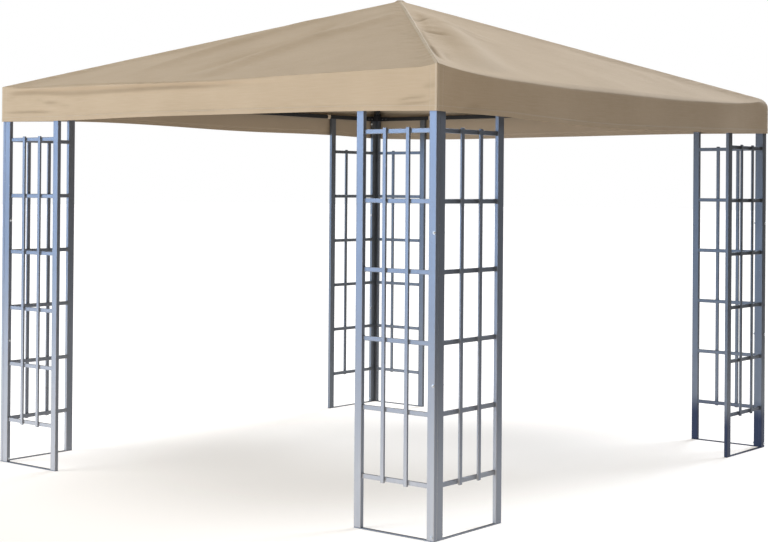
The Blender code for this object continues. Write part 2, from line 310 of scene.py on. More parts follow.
def rounded_outline(width, depth, radius, arc_steps=4):
    """A rectangle with rounded corners, anticlockwise about zero.

    Each corner is a quarter circle about a centre one radius in from both
    sides, with a point on the flat before and after it. The second result is
    1 on the arcs and 0 on the flats, so that wear can follow the edges.
    """
    arc = np.linspace(0.0, 0.5 * np.pi, arc_steps + 1)
    flat = min(radius, (min(width, depth) - 2.0 * radius) / 3.0)
    outline = []
    for quarter in range(4):
        angle = arc + 0.5 * np.pi * quarter
        middle = 0.5 * np.pi * (quarter + 0.5)
        centre = np.array([
            np.sign(np.cos(middle)) * (0.5 * width - radius),
            np.sign(np.sin(middle)) * (0.5 * depth - radius),
        ])
        curve = centre + radius * np.stack([np.cos(angle), np.sin(angle)], axis=1)
        before = curve[0] + flat * np.array([np.sin(angle[0]), -np.cos(angle[0])])
        after = curve[-1] + flat * np.array([-np.sin(angle[-1]), np.cos(angle[-1])])
        outline.append(np.vstack([before, curve, after]))
    corner_rim = np.r_[0.0, np.ones(arc_steps + 1), 0.0]
    return np.vstack(outline), np.tile(corner_rim, 4)


def skin(rings, rim):
    """Quads from ring to ring and a face over each end.

    rings has a row of points for each station, anticlockwise about the way
    that the stations go.
    """
    stations, around = rings.shape[:2]
    point = np.arange(stations * around).reshape(stations, around)
    beside = np.roll(point, -1, axis=1)
    sides = np.stack([point[:-1], beside[:-1], beside[1:], point[1:]], axis=-1).reshape(-1, 4)
    ends = np.stack([point[0][::-1], point[-1]])
    return rings.reshape(-1, 3), [sides, ends], rim.reshape(-1)


def straight_bar(width, depth, radius, stations, arc_steps=4):
    """A rounded rectangle carried along Z through stations of (height, growth).

    The outline is wider by growth on every side, so a negative growth at the
    ends takes their sharp edge off.
    """
    rings = []
    rims = []
    for height, growth in stations:
        outline, rim = rounded_outline(
            width + 2.0 * growth, depth + 2.0 * growth, radius + growth, arc_steps)
        rings.append(np.column_stack([outline, np.full(len(outline), height)]))
        rims.append(rim)
    return skin(np.array(rings), np.array(rims))


def laid(part, origin, across, beside, ahead):
    """The part with its X, Y and Z laid along three directions from an origin."""
    points, faces, rim = part
    return points @ np.array([across, beside, ahead], dtype=float) + np.array(origin), faces, rim


def turned_quarters(part, quarters):
    """The part turned about the upright axis of the gazebo by quarter turns."""
    points, faces, rim = part
    return points @ np.linalg.matrix_power(QUARTER_TURN, quarters), faces, rim


def make_piece(name, parts, finish, nodes=()):
    """One object from parts, riding on the root body in the place of CAD nodes."""
    mesh = bpy.data.meshes.new(name)
    points = np.concatenate([part[0] for part in parts])
    corners = []
    sizes = []
    first_point = 0
    for part_points, faces, _ in parts:
        for rows in faces:
            corners.append((rows + first_point).ravel())
            sizes.append(np.full(len(rows), rows.shape[1]))
        first_point += len(part_points)
    corners = np.concatenate(corners)
    sizes = np.concatenate(sizes)
    mesh.vertices.add(len(points))
    mesh.vertices.foreach_set("co", points.ravel())
    mesh.loops.add(len(corners))
    mesh.loops.foreach_set("vertex_index", corners)
    mesh.polygons.add(len(sizes))
    mesh.polygons.foreach_set("loop_start", np.cumsum(sizes) - sizes)
    mesh.polygons.foreach_set("use_smooth", np.ones(len(sizes), dtype=bool))
    mesh.update(calc_edges=True)
    mesh.set_sharp_from_angle(angle=math.radians(50.0))
    # How much each point's normal faces -Y, toward the softboxes; the leg paint lays its dust and
    # painted light by it.
    lit_front_side = mesh.attributes.new("lit_front_side", "FLOAT", "POINT")
    normals = np.empty(len(points) * 3, dtype=np.float32)
    mesh.vertices.foreach_get("normal", normals)
    lit_front_side.data.foreach_set("value", np.clip(-normals[1::3], 0.0, 1.0))
    rim = mesh.attributes.new("rim", "FLOAT", "POINT")
    rim.data.foreach_set("value", np.concatenate([part[2] for part in parts]))
    piece = bpy.data.objects.new(name, mesh)
    bpy.context.scene.collection.objects.link(piece)
    even = piece.modifiers.new("even_shading", "WEIGHTED_NORMAL")
    even.keep_sharp = True
    mesh.materials.append(finish.material)
    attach(piece, "root")
    if nodes:
        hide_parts(*nodes)
    return piece


leg_paint = Finish("leg_paint")
leg_across, leg_depth, leg_height = leg_paint.parts_of(leg_paint.place)
leg_back = leg_depth.rise(0.4, 1.1)
leg_cloud = leg_paint.grain(leg_paint.place, 2.2, 3.0)
leg_streak_place = leg_paint.node(
    "ShaderNodeMapping", None, {"Vector": leg_paint.place, "Scale": (60.0, 60.0, 2.5)})
leg_streak = leg_paint.grain(leg_streak_place, 1.0, 3.0)
leg_flake = leg_paint.grain(leg_paint.place, 900.0, 1.0)
leg_peel = leg_paint.grain(leg_paint.place, 260.0, 1.5)
# Dust and painted light: the paint turns pale towards the foot, mostly on the faces toward the softboxes
# and less on the back legs, partly dust and partly a painted reflection of the floor.
leg_dust_and_painted_light = (1.0 - leg_height.rise(-0.15, 1.22)) * (0.55 + 0.55 * leg_cloud + 0.40 * leg_streak)
leg_lit_front = leg_paint.carried("lit_front_side")
leg_dust_and_painted_light = leg_dust_and_painted_light * (1.0 - 0.75 * leg_back) * (0.12 + 0.88 * leg_lit_front)
# Darker navy towards the foot of the back right leg.
leg_dark_foot = (1.0 - leg_height.rise(0.15, 0.29)) * leg_back * leg_across.rise(0.4, 1.1)
leg_rim = leg_paint.carried("rim")
leg_chip = leg_rim * leg_paint.grain(leg_paint.place, 75.0, 3.0).rise(0.66, 0.72)
# Painted shade: the two back legs take a darker copy of the front legs' paint.
leg_lit_legs_tone = leg_paint.mix(
    leg_cloud.rise(0.25, 0.75), (0.178, 0.199, 0.240, 1.0), (0.207, 0.228, 0.269, 1.0))
leg_shaded_legs_tone = leg_paint.mix(
    leg_cloud.rise(0.25, 0.75), (0.108, 0.121, 0.141, 1.0), (0.128, 0.142, 0.162, 1.0))
leg_clean_tone = leg_paint.mix(leg_back, leg_lit_legs_tone, leg_shaded_legs_tone)
leg_flaked_tone = leg_paint.mix(
    leg_flake.rise(0.55, 0.75) * 0.25, leg_clean_tone, (0.220, 0.270, 0.370, 1.0))
leg_dust_and_light_tone = leg_paint.mix(leg_dust_and_painted_light * 0.90, leg_flaked_tone, (0.600, 0.585, 0.585, 1.0))
leg_dark_foot_tone = leg_paint.mix(leg_dark_foot * 0.93, leg_dust_and_light_tone, (0.012, 0.022, 0.062, 1.0))
leg_paint.surface({
    "Base Color": leg_paint.mix(leg_chip * 0.6, leg_dark_foot_tone, (0.40, 0.41, 0.43, 1.0)),
    "Metallic": 0.60 - 0.50 * leg_dust_and_painted_light,
    "Roughness": 0.37 + 0.10 * leg_streak + 0.22 * leg_dust_and_painted_light,
    "Normal": leg_paint.relief(leg_peel * 0.00004 + leg_chip * -0.00005),
})

post_stations = (
    (POST_FOOT, -END_EASE), (POST_FOOT + END_EASE, 0.0),
    (POST_TOP - END_EASE, 0.0), (POST_TOP, -END_EASE))
post_bar = straight_bar(POST_WIDTH, POST_DEPTH, POST_EDGE, post_stations)
first_post = laid(post_bar, (POST_WIDTH / 2, POST_DEPTH / 2, 0.0), (1, 0, 0), (0, 1, 0), (0, 0, 1))
last_post = laid(
    post_bar, (PANEL_WIDTH - POST_WIDTH / 2, POST_DEPTH / 2, 0.0), (1, 0, 0), (0, 1, 0), (0, 0, 1))
for quarters, (corner, lapping, lapped) in enumerate(CORNERS):
    for post, panel, place_name in (
        (first_post, LAPPING_PANEL, f"{lapping}_end_post"),
        (last_post, LAPPING_PANEL, f"{lapping}_corner_post"),
        (first_post, LAPPED_PANEL, f"{lapped}_corner_post"),
        (last_post, LAPPED_PANEL, f"{lapped}_end_post"),
    ):
        node = f"{corner}_leg_{place_name}"
        make_piece(
            node + "_tube", [turned_quarters(laid(post, *panel), quarters)],
            leg_paint, [node])


# Trellis lattices
# Six flat rungs of 20 x 11 mm bar are welded between the posts of a panel, and two
# 20 x 10 mm bars with rounded ends are laid over them and welded at each crossing.
RUNG_COUNT = 6
FIRST_RUNG_HEIGHT = 0.228
RUNG_PITCH = 0.2983
RUNG_HEIGHT = 0.020
RUNG_DEPTH = 0.011
BAR_COUNT = 2
BAR_WIDTH = 0.020
BAR_DEPTH = 0.010
BAR_OVERRUN = 0.006
WELD_GROWTH = 0.0013

rung_heights = [FIRST_RUNG_HEIGHT + RUNG_PITCH * number for number in range(RUNG_COUNT)]
bar_space = (PANEL_WIDTH - 2 * POST_WIDTH - BAR_COUNT * BAR_WIDTH) / (BAR_COUNT + 1)
bar_starts = [POST_WIDTH + bar_space + (bar_space + BAR_WIDTH) * number for number in range(BAR_COUNT)]
rung_left = POST_WIDTH
rung_right = PANEL_WIDTH - POST_WIDTH
rung_bar = straight_bar(RUNG_DEPTH, RUNG_HEIGHT, 0.0018, (
    (rung_left, WELD_GROWTH), (rung_left + 0.0012, WELD_GROWTH), (rung_left + 0.0036, 0.0),
    (rung_right - 0.0036, 0.0), (rung_right - 0.0012, WELD_GROWTH), (rung_right, WELD_GROWTH)))
bar_low = rung_heights[0] - RUNG_HEIGHT / 2 - BAR_OVERRUN
bar_high = rung_heights[-1] + RUNG_HEIGHT / 2 + BAR_OVERRUN
upright_bar = straight_bar(BAR_WIDTH, BAR_DEPTH, 0.0022, (
    (bar_low, -0.0020), (bar_low + 0.0006, -0.0009), (bar_low + 0.0020, 0.0),
    (bar_high - 0.0020, 0.0), (bar_high - 0.0006, -0.0009), (bar_high, -0.0020)))
weld_bead = straight_bar(0.0030, 0.0030, 0.0014, (
    (-0.0100, -0.0011), (-0.0092, -0.0002), (-0.0060, 0.0001), (-0.0030, -0.0002),
    (0.0, 0.0001), (0.0030, -0.0002), (0.0060, 0.0001), (0.0092, -0.0002), (0.0100, -0.0011)),
    arc_steps=2)

lattice_parts = []
for height in rung_heights:
    lattice_parts.append(laid(
        rung_bar, (0.0, POST_DEPTH - RUNG_DEPTH / 2, height), (0, 1, 0), (0, 0, 1), (1, 0, 0)))
    for start in bar_starts:
        for edge in (start - 0.0003, start + BAR_WIDTH + 0.0003):
            lattice_parts.append(laid(
                weld_bead, (edge, POST_DEPTH - RUNG_DEPTH, height), (1, 0, 0), (0, 1, 0), (0, 0, 1)))
for start in bar_starts:
    lattice_parts.append(laid(
        upright_bar, (start + BAR_WIDTH / 2, BAR_DEPTH / 2, 0.0), (1, 0, 0), (0, 1, 0), (0, 0, 1)))
for quarters, (corner, lapping, lapped) in enumerate(CORNERS):
    for face, panel in ((lapping, LAPPING_PANEL), (lapped, LAPPED_PANEL)):
        node = f"{corner}_leg_{face}_lattice"
        make_piece(
            node + "_bars", [turned_quarters(laid(part, *panel), quarters) for part in lattice_parts],
            leg_paint, [node])


# Foot straps
# Four angles of 20 x 4 mm flat bar, cut with shears and welded under the posts of a
# leg to tie them on the ground. The CAD pieces stay, with their edges eased.
def ease_edges(node, width, segments):
    """Rounds a CAD node's edges without touching its mesh."""
    piece = frame["nodes"][node]
    weld = piece.modifiers.new("joined_points", "WELD")
    weld.merge_threshold = 0.00005
    ease = piece.modifiers.new("eased_edges", "BEVEL")
    ease.width = width
    ease.segments = segments
    ease.limit_method = "ANGLE"
    ease.angle_limit = math.radians(35.0)
    ease.harden_normals = False
    even = piece.modifiers.new("even_shading", "WEIGHTED_NORMAL")
    even.keep_sharp = True
    for polygon in piece.data.polygons:
        polygon.use_smooth = True
    return piece


def give_finish(piece, finish):
    """Puts one material in every slot of a CAD piece."""
    for slot in piece.material_slots:
        slot.material = finish.material


for corner, _, _ in CORNERS:
    give_finish(ease_edges(f"{corner}_leg_foot_strap", 0.0008, 2), leg_paint)


# Corner bolts
# Domed coach bolts of 6 mm join the two corner posts of a leg at four heights. The
# head sits on a washer outside, and an acorn nut closes each one inside the leg.
BOLT_HEIGHTS = (1.92, 1.29, 0.65, 0.02)
BOLT_SIDE = 1.490
LAPPED_POST_INSIDE = -HALF_SIDE + POST_DEPTH + TOUCH_GAP + POST_WIDTH


def turned_shape(profile, around=20):
    """A profile of (radius, height) pairs turned about Z, closed at both ends."""
    angle = np.linspace(0.0, 2.0 * np.pi, around, endpoint=False)
    radius, height = np.array(profile).T
    rings = np.stack([
        radius[:, None] * np.cos(angle),
        radius[:, None] * np.sin(angle),
        np.repeat(height[:, None], around, axis=1),
    ], axis=-1)
    return skin(rings, np.zeros(rings.shape[:2]))


bolt_steel = Finish("bolt_steel")
bolt_cloud = bolt_steel.grain(bolt_steel.place, 160.0, 3.0)
bolt_steel.surface({
    "Base Color": bolt_steel.mix(
        bolt_cloud.rise(0.35, 0.70), (0.620, 0.640, 0.660, 1.0), (0.480, 0.490, 0.500, 1.0)),
    "Metallic": 0.60,
    "Roughness": 0.30 + 0.20 * bolt_cloud,
    "Normal": bolt_steel.relief(bolt_cloud * 0.00006),
})
washer = turned_shape((
    (0.0060, -0.0002), (0.0078, 0.0), (0.0080, 0.0008), (0.0076, 0.0012), (0.0060, 0.0012)))
bolt_dome = turned_shape((
    (0.0058, 0.0008), (0.0062, 0.0012), (0.0060, 0.0022), (0.0050, 0.0034),
    (0.0034, 0.0042), (0.0016, 0.0046), (0.0004, 0.0047)))
nut_body = turned_shape(
    ((0.0054, 0.0008), (0.0058, 0.0012), (0.0058, 0.0050), (0.0052, 0.0056)), around=6)
nut_dome = turned_shape((
    (0.0046, 0.0050), (0.0045, 0.0068), (0.0038, 0.0086), (0.0024, 0.0098), (0.0004, 0.0102)))
bolt_parts = []
for height in BOLT_HEIGHTS:
    for shape in (washer, bolt_dome):
        bolt_parts.append(laid(
            shape, (BOLT_SIDE, -HALF_SIDE, height), (1, 0, 0), (0, 0, 1), (0, -1, 0)))
    for shape in (washer, nut_body, nut_dome):
        bolt_parts.append(laid(
            shape, (BOLT_SIDE, LAPPED_POST_INSIDE, height), (-1, 0, 0), (0, 0, 1), (0, 1, 0)))
for quarters, (corner, _, _) in enumerate(CORNERS):
    make_piece(
        f"{corner}_leg_bolts", [turned_quarters(part, quarters) for part in bolt_parts],
        bolt_steel)


# Eave beams
# Four beams of 25 x 20 mm tube in satin near-black paint join the brackets behind the
# valance. Each comes as two halves that push together over an inner sleeve.
BEAM_BOTTOM = 1.9403
BEAM_HEIGHT = 0.025
BEAM_DEPTH = 0.020
BEAM_END = 1.4377
BEAM_MIDDLE = -1.4877
JOINT_GAP = 0.0008
FACES = ("front", "right", "back", "left")

frame_paint = Finish("roof_frame_paint")
frame_cloud = frame_paint.grain(frame_paint.place, 3.0, 3.0)
frame_peel = frame_paint.grain(frame_paint.place, 320.0, 1.5)
frame_scuff = frame_paint.grain(frame_paint.place, 45.0, 4.0).rise(0.62, 0.74)
frame_clean_tone = frame_paint.mix(
    frame_cloud, (0.011, 0.012, 0.014, 1.0), (0.020, 0.021, 0.024, 1.0))
frame_paint.surface({
    "Base Color": frame_paint.mix(frame_scuff * 0.35, frame_clean_tone, (0.050, 0.050, 0.052, 1.0)),
    "Roughness": 0.42 + 0.12 * frame_cloud + 0.15 * frame_scuff,
    "Normal": frame_paint.relief(frame_peel * 0.00004),
    "Specular IOR Level": 0.25,
})
beam_bar = straight_bar(BEAM_DEPTH, BEAM_HEIGHT, 0.0022, (
    (-BEAM_END, -END_EASE), (-BEAM_END + END_EASE, 0.0),
    (-JOINT_GAP - 0.0008, 0.0), (-JOINT_GAP, -0.0010),
    (JOINT_GAP, -0.0010), (JOINT_GAP + 0.0008, 0.0),
    (BEAM_END - END_EASE, 0.0), (BEAM_END, -END_EASE)))
front_beam = laid(
    beam_bar, (0.0, BEAM_MIDDLE, BEAM_BOTTOM + BEAM_HEIGHT / 2), (0, 1, 0), (0, 0, 1), (1, 0, 0))
for quarters, face in enumerate(FACES):
    make_piece(
        f"{face}_eave_beam_tube", [turned_quarters(front_beam, quarters)],
        frame_paint, [f"{face}_eave_beam"])


# Brackets, hip rafters and hub
# Folded steel brackets sit on the corner posts and take the beams and the rafters. The
# rafters run up to sockets on the turned hub. The CAD pieces stay, with eased edges.
for corner, _, _ in CORNERS:
    give_finish(ease_edges(f"{corner}_bracket", 0.0007, 2), frame_paint)
    give_finish(ease_edges(f"{corner}_hip_rafter", 0.0020, 3), frame_paint)
give_finish(ease_edges("peak_hub", 0.0007, 2), frame_paint)


# Roof screws and rafter joints
# Pan-head screws pin the beams in the saddles and the rafters in their sockets. Each
# rafter is two tubes with a pressed sleeve round the joint halfway up.
PEAK_HEIGHT = 2.520
CORNER_HEIGHT = 1.998
COVER_HALF = 1.508
HIP_SLOPE = (PEAK_HEIGHT - CORNER_HEIGHT) / COVER_HALF / math.sqrt(2.0)
HIP_ROOT = math.sqrt(0.5)
SOCKET_DROP = 0.0079
SOCKET_HEIGHT = 0.0296
SOCKET_HALF_WIDTH = 0.0123
SADDLE_INSIDE = -1.4754
SADDLE_SCREW_PLACES = (1.392, 1.424)
SADDLE_SCREW_HEIGHT = 1.9535
SOCKET_SCREW_REACHES = (0.085, 0.130, 1.955, 2.005)
RAFTER_DROP = 0.0102
RAFTER_HALF_HEIGHT = 0.0125
SLEEVE_REACH = 1.05

screw_head = turned_shape((
    (0.0040, -0.0004), (0.0043, 0.0004), (0.0042, 0.0012), (0.0034, 0.0022),
    (0.0014, 0.0026), (0.0012, 0.0018), (0.0003, 0.0017)), around=14)
hip_axis = np.array([HIP_ROOT, -HIP_ROOT, 0.0])
hip_side = np.array([HIP_ROOT, HIP_ROOT, 0.0])
down_hip = np.array([HIP_ROOT, -HIP_ROOT, -HIP_SLOPE]) / math.hypot(1.0, HIP_SLOPE)
off_hip = np.cross(down_hip, hip_side)
screw_steel = Finish("screw_steel")
screw_cloud = screw_steel.grain(screw_steel.place, 160.0, 3.0)
screw_steel.surface({
    "Base Color": screw_steel.mix(
        screw_cloud.rise(0.35, 0.70), (0.105, 0.115, 0.135, 1.0), (0.180, 0.175, 0.170, 1.0)),
    "Metallic": 0.75,
    "Roughness": 0.40 + 0.24 * screw_cloud,
    "Normal": screw_steel.relief(screw_cloud * 0.00006),
})
screw_parts = []
for place in SADDLE_SCREW_PLACES:
    screw_parts.append(laid(
        screw_head, (place, SADDLE_INSIDE, SADDLE_SCREW_HEIGHT),
        (-1, 0, 0), (0, 0, 1), (0, 1, 0)))
    screw_parts.append(laid(
        screw_head, (-SADDLE_INSIDE, -place, SADDLE_SCREW_HEIGHT),
        (0, -1, 0), (0, 0, 1), (-1, 0, 0)))
for reach in SOCKET_SCREW_REACHES:
    middle = reach * hip_axis + (
        0.0, 0.0, PEAK_HEIGHT - HIP_SLOPE * reach - SOCKET_DROP - SOCKET_HEIGHT / 2)
    for side in (-1.0, 1.0):
        screw_parts.append(laid(
            screw_head, middle + side * SOCKET_HALF_WIDTH * hip_side,
            down_hip, side * off_hip, side * hip_side))
sleeve_middle = SLEEVE_REACH * hip_axis + (
    0.0, 0.0, PEAK_HEIGHT - HIP_SLOPE * SLEEVE_REACH - RAFTER_DROP - RAFTER_HALF_HEIGHT)
rafter_sleeve = laid(
    straight_bar(0.0226, 0.0272, 0.0032, (
        (-0.050, -0.0012), (-0.0485, 0.0), (-0.030, 0.0), (-0.028, -0.0006), (-0.026, 0.0),
        (0.026, 0.0), (0.028, -0.0006), (0.030, 0.0), (0.0485, 0.0), (0.050, -0.0012))),
    sleeve_middle, hip_side, -off_hip, down_hip)
for quarters, (corner, _, _) in enumerate(CORNERS):
    make_piece(
        f"{corner}_roof_screws", [turned_quarters(part, quarters) for part in screw_parts],
        screw_steel)
    make_piece(
        f"{corner}_rafter_sleeve", [turned_quarters(rafter_sleeve, quarters)],
        frame_paint)


# Canopy
# One sand-coloured cover of woven polyester: four roof faces sewn together along the
# hips and a valance sewn on at the eave, with a turned hem, stretched over the frame.
COLUMNS = 136
EAVE_REACH = 1.507
CORNER_EAVE = (2.002, 1.9995, 1.9965, 1.999)
EDGE_RADIUS = 0.006
FOLD_SIZE = 0.006
CLOTH_THICKNESS = 0.0009
DEEPEST_DIP = 0.0048
ROOF_GRID_END = 1.4937
VALANCE_FALL = 0.165
CAP_TOP = 2.5226
CAP_HEIGHT = 2.5225
CAP_FALL = 0.0195
CAP_FLAT = 0.012
CAP_RADIUS = 0.046
# Heights of the eave and of the hem on each side, as (share of the side, height)
EAVE_HEIGHTS = (
    ((-1.0, 2.002), (-0.93, 1.9975), (-0.63, 1.9955), (-0.45, 1.993), (-0.29, 1.989),
     (-0.12, 1.984), (0.03, 1.980), (0.26, 1.9795), (0.47, 1.9815), (0.67, 1.984),
     (0.86, 1.9870), (0.95, 1.9883), (0.982, 1.9942), (1.0, 1.9995)),
    ((-1.0, 1.9995), (-0.955, 1.990), (-0.91, 1.983), (-0.82, 1.975), (-0.72, 1.971),
     (-0.575, 1.967), (-0.42, 1.9658), (-0.07, 1.9655), (0.45, 1.9658), (0.676, 1.970),
     (0.84, 1.975), (0.94, 1.987), (1.0, 1.9965)),
    ((-1.0, 1.9965), (-0.94, 1.991), (-0.70, 1.979), (0.0, 1.971), (0.70, 1.980),
     (0.94, 1.9925), (1.0, 1.999)),
    ((-1.0, 1.999), (-0.94, 1.9925), (-0.70, 1.979), (0.0, 1.971), (0.70, 1.982),
     (0.94, 1.994), (1.0, 2.002)),
)
HEM_HEIGHTS = (
    ((-1.0, 1.8166), (-0.62, 1.8117), (-0.30, 1.8156), (0.29, 1.8134), (0.69, 1.8096), (1.0, 1.7995)),
    ((-1.0, 1.7995), (-0.66, 1.7915), (-0.40, 1.7792), (-0.12, 1.773), (0.13, 1.7777), (0.47, 1.7878),
     (1.0, 1.8074)),
    ((-1.0, 1.8074), (-0.70, 1.8135), (0.0, 1.8105), (0.70, 1.810), (1.0, 1.8207)),
    ((-1.0, 1.8207), (-0.75, 1.830), (-0.20, 1.828), (0.70, 1.836), (1.0, 1.8166)),
)
# Folds on the roof faces, each as its points (along, outward), its height and its width
ROOF_FOLDS = (
    (((0.34, 0.30), (0.22, 0.63), (0.08, 0.78), (0.02, 1.14), (0.02, 1.50)), 0.024, 0.075),
    (((-0.06, 0.35), (0.00, 0.75), (-0.03, 1.03), (-0.19, 1.40)), -0.016, 0.055),
    (((-0.20, 0.25), (-0.49, 0.82), (-0.61, 1.30)), 0.019, 0.065),
    (((0.55, 0.70), (0.60, 1.35)), -0.007, 0.150),
), (
    (((-0.18, 0.33), (-0.44, 0.68), (-0.66, 0.95), (-0.86, 1.20), (-1.10, 1.42)), 0.045, 0.115),
    (((-0.33, 0.55), (-0.15, 0.70)), 0.009, 0.035),
    (((-0.46, 0.64), (-0.24, 0.80)), 0.007, 0.035),
    (((-0.24, 1.40), (0.00, 1.45), (0.22, 1.44)), 0.004, 0.030),
    (((0.40, 1.36), (0.62, 1.42)), 0.004, 0.030),
    (((0.80, 1.02), (0.70, 1.22)), 0.006, 0.030),
    (((0.92, 1.10), (0.84, 1.26)), 0.006, 0.030),
), (
    (((0.10, 0.40), (0.02, 0.90), (-0.10, 1.35)), 0.006, 0.060),
    (((-0.35, 0.60), (-0.50, 1.20)), -0.005, 0.060),
), (
    (((-0.10, 0.35), (0.05, 0.85), (0.12, 1.40)), 0.006, 0.060),
    (((0.45, 0.75), (0.62, 1.30)), -0.005, 0.055),
)
# Creases along the hip seam above the front right leg, as (side, points, height, width)
HIP_CREASES = (
    (1, ((-0.78, 0.804), (-1.04, 1.063), (-1.165, 1.190)), -0.0060, 0.009),
    (1, ((-1.08, 1.108), (-1.195, 1.224), (-1.25, 1.288), (-1.325, 1.372)), -0.0120, 0.013),
    (1, ((-1.10, 1.22), (-1.257, 1.361)), -0.0045, 0.016),
    (1, ((-0.54, 0.555), (-0.40, 0.54)), -0.0090, 0.018),
    (1, ((-0.735, 0.755), (-0.73, 0.93)), -0.0085, 0.017),
    (1, ((-0.64, 0.670), (-0.60, 0.80)), 0.0060, 0.016),
    (0, ((1.385, 1.445), (1.325, 1.336)), 0.0040, 0.013),
    (0, ((1.432, 1.455), (1.380, 1.390)), 0.0035, 0.011),
    (0, ((0.79, 0.82), (0.72, 0.86)), -0.0035, 0.013),
    (0, ((0.56, 0.585), (0.49, 0.62)), 0.0035, 0.014),
)
# Creases on the valances, as (side, points (along, below the eave), height, width)
VALANCE_CREASES = (
    (0, ((-1.22, 0.070), (-1.08, 0.090), (-0.92, 0.108)), -0.0070, 0.0085),
    (0, ((-1.20, 0.084), (-1.06, 0.104), (-0.93, 0.120)), 0.0040, 0.0085),
    (0, ((-1.50, 0.136), (-1.28, 0.130), (-1.05, 0.136)), -0.0075, 0.0075),
    (0, ((-1.48, 0.146), (-1.28, 0.140), (-1.10, 0.146)), 0.0035, 0.0075),
    (0, ((-1.48, 0.070), (-1.38, 0.052)), -0.0040, 0.009),
    (0, ((1.28, 0.140), (1.36, 0.128), (1.46, 0.126)), -0.0065, 0.007),
    (0, ((1.30, 0.136), (1.48, 0.139)), 0.0030, 0.006),
    (0, ((1.28, 0.156), (1.38, 0.150), (1.49, 0.151)), -0.0065, 0.007),
    (0, ((1.42, 0.080), (1.515, 0.086)), -0.0060, 0.012),
    (1, ((-1.42, 0.165), (-1.30, 0.105)), 0.0040, 0.018),
    (1, ((-1.36, 0.175), (-1.22, 0.130)), -0.0035, 0.018),
)


def smooth_through(knots, at):
    """A cubic through (place, height) knots, with the slope of their neighbours at each."""
    places, heights = np.array(knots).T
    slopes = np.gradient(heights, places)
    span = np.clip(np.searchsorted(places, at, side="right") - 1, 0, len(places) - 2)
    width = places[span + 1] - places[span]
    part = (at - places[span]) / width
    rest = 1.0 - part
    return (
        heights[span] * (1.0 + 2.0 * part) * rest ** 2
        + heights[span + 1] * part ** 2 * (3.0 - 2.0 * part)
        + width * part * rest * (slopes[span] * rest - slopes[span + 1] * part))


def smooth_step(value, start, end):
    """0 before start, 1 after end and 3q^2 - 2q^3 between them."""
    part = np.clip((value - start) / (end - start), 0.0, 1.0)
    return part * part * (3.0 - 2.0 * part)


def fold_along(along, outward, path, height, width):
    """A bell-shaped fold about a broken line, which fades out at both its ends."""
    path = np.array(path)
    nearest = np.full(np.broadcast(along, outward).shape, np.inf)
    travelled = np.zeros_like(nearest)
    lengths = np.linalg.norm(np.diff(path, axis=0), axis=1)
    before = 0.0
    for start, step, length in zip(path[:-1], np.diff(path, axis=0), lengths):
        part = np.clip(
            ((along - start[0]) * step[0] + (outward - start[1]) * step[1]) / length ** 2, 0.0, 1.0)
        away = np.hypot(along - start[0] - part * step[0], outward - start[1] - part * step[1])
        closer = away < nearest
        nearest = np.where(closer, away, nearest)
        travelled = np.where(closer, before + part * length, travelled)
        before += length
    share = travelled / before
    return height * np.exp(-(nearest / width) ** 2) * np.sqrt(np.sin(np.pi * np.clip(share, 0.02, 0.98)))


def slow_waves(along, down, seed, count=7, longest=0.9, shortest=0.16):
    """A sum of count sine waves in random directions, about 1 high at most."""
    chance = np.random.default_rng(seed)
    total = np.zeros(np.broadcast(along, down).shape)
    for length in np.geomspace(longest, shortest, count):
        heading, start = chance.uniform(0.0, 2.0 * np.pi, 2)
        across = along * np.cos(heading) + down * np.sin(heading)
        total += length / longest * np.sin(2.0 * np.pi * across / length + start)
    return total / 2.2


